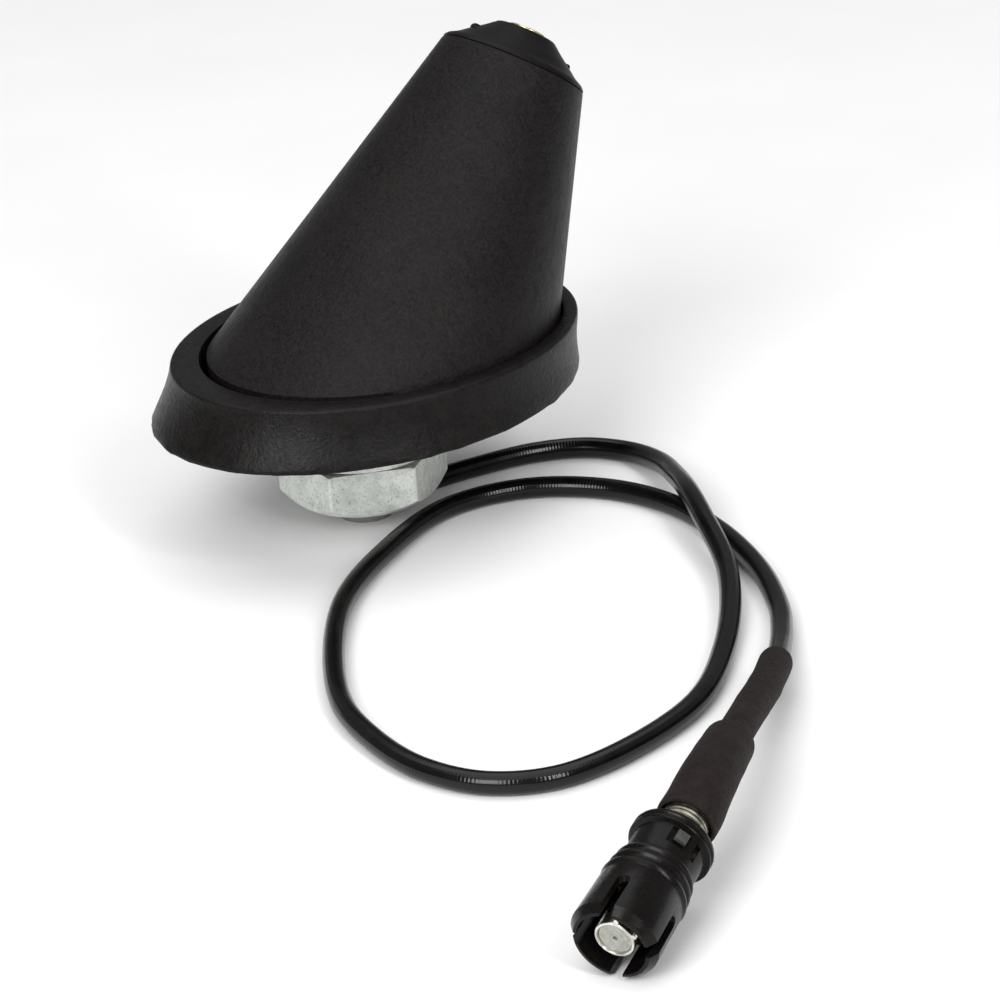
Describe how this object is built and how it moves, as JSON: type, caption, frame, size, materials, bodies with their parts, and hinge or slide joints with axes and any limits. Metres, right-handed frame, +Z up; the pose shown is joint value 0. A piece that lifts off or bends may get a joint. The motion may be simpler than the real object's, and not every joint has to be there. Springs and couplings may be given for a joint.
{
  "type": "satellite positioning roof antenna head",
  "caption": "Slanted oval-based antenna housing with a mast socket on its tip, rubber gasket, hollow threaded stud with nut and washer, and a coax lead ending in a round push-on plug.",
  "frame": {"origin": "centre of the bounding box in plan, at the bottom of the stud's end, measured without the lead and plug", "axes": "+Z up along the stud, away from the roof; +X to the rear, where the tip leans; +Y to the antenna's left side"},
  "size_m": [0.1224, 0.1714, 0.0738],
  "materials": {
    "housing_plastic": "black, fine satin grain",
    "nose_plastic": "black, nearly smooth",
    "black_rubber": "black moulded rubber, speckled, with flash at the foot",
    "zinc_plate": "bright zinc plating on steel",
    "die_cast_zinc": "as-cast zinc alloy",
    "brass": "turned",
    "nickel_plate": "nickel plating on brass",
    "dull_nickel": "dulled nickel plating",
    "board_laminate": "green solder mask",
    "ceramic": "sintered ceramic",
    "silver_layer": "fired silver",
    "component_body": "moulded component body",
    "cable_jacket": "black jacket with faint cross ridges",
    "heat_shrink": "matt shrunk tubing",
    "collar_plastic": "black moulded, satin to glossy",
    "rough_plastic": "grey, rough moulded",
    "insulator_plastic": "pale moulded insulator"
  },
  "bodies": {
    "antenna": {"cone_housing": "housing_plastic", "gasket": "black_rubber", "base_plate": "die_cast_zinc", "mast_nose": "nose_plastic", "mast_insert": "brass", "mast_lead_wire": "nickel_plate", "cable_grommet": "black_rubber", "housing_screw_front": "zinc_plate", "housing_screw_left": "zinc_plate", "housing_screw_right": "zinc_plate", "board_screw_left": "zinc_plate", "board_screw_right": "zinc_plate", "cable_clamp": "zinc_plate", "clamp_screw": "zinc_plate", "circuit_board": "board_laminate", "patch_ceramic": "ceramic", "patch_electrode": "silver_layer", "patch_feed_pin": "silver_layer", "shield_can": "nickel_plate", "filter_block": "nickel_plate", "inductor": "component_body", "capacitor_front": "component_body", "capacitor_rear": "component_body", "cable_inner_core": "insulator_plastic", "coax_cable": "cable_jacket", "heat_shrink_thin": "heat_shrink", "heat_shrink_thick": "heat_shrink", "crimp_ferrule": "dull_nickel", "plug_shell": "nickel_plate", "plug_insulator": "insulator_plastic", "plug_center_contact": "brass", "cable_core_at_plug": "insulator_plastic"},
    "washer": {"grounding_washer": "zinc_plate"},
    "nut": {"fixing_nut": "zinc_plate"},
    "collar": {"plug_collar": "collar_plastic", "collar_lock_block": "rough_plastic"}
  },
  "joints": [
    {"name": "washer_slide", "type": "slide", "parent": "antenna", "child": "washer", "axis": [0, 0, 1], "range_m": [0, 0.006]},
    {"name": "nut_turn", "type": "hinge", "parent": "washer", "child": "nut", "pos_m": [-0.0063, 0, 0.008], "axis": [0, 0, 1], "range_deg": [0, 1440]},
    {"name": "collar_slide", "type": "slide", "parent": "antenna", "child": "collar", "axis": [0.9069, 0.3664, 0.2079], "range_m": [0, 0.0022]}
  ],
  "couplings": [
    {"joint": "washer_slide", "follows": "nut_turn", "m_per_rad": 0.00023873}
  ]
}
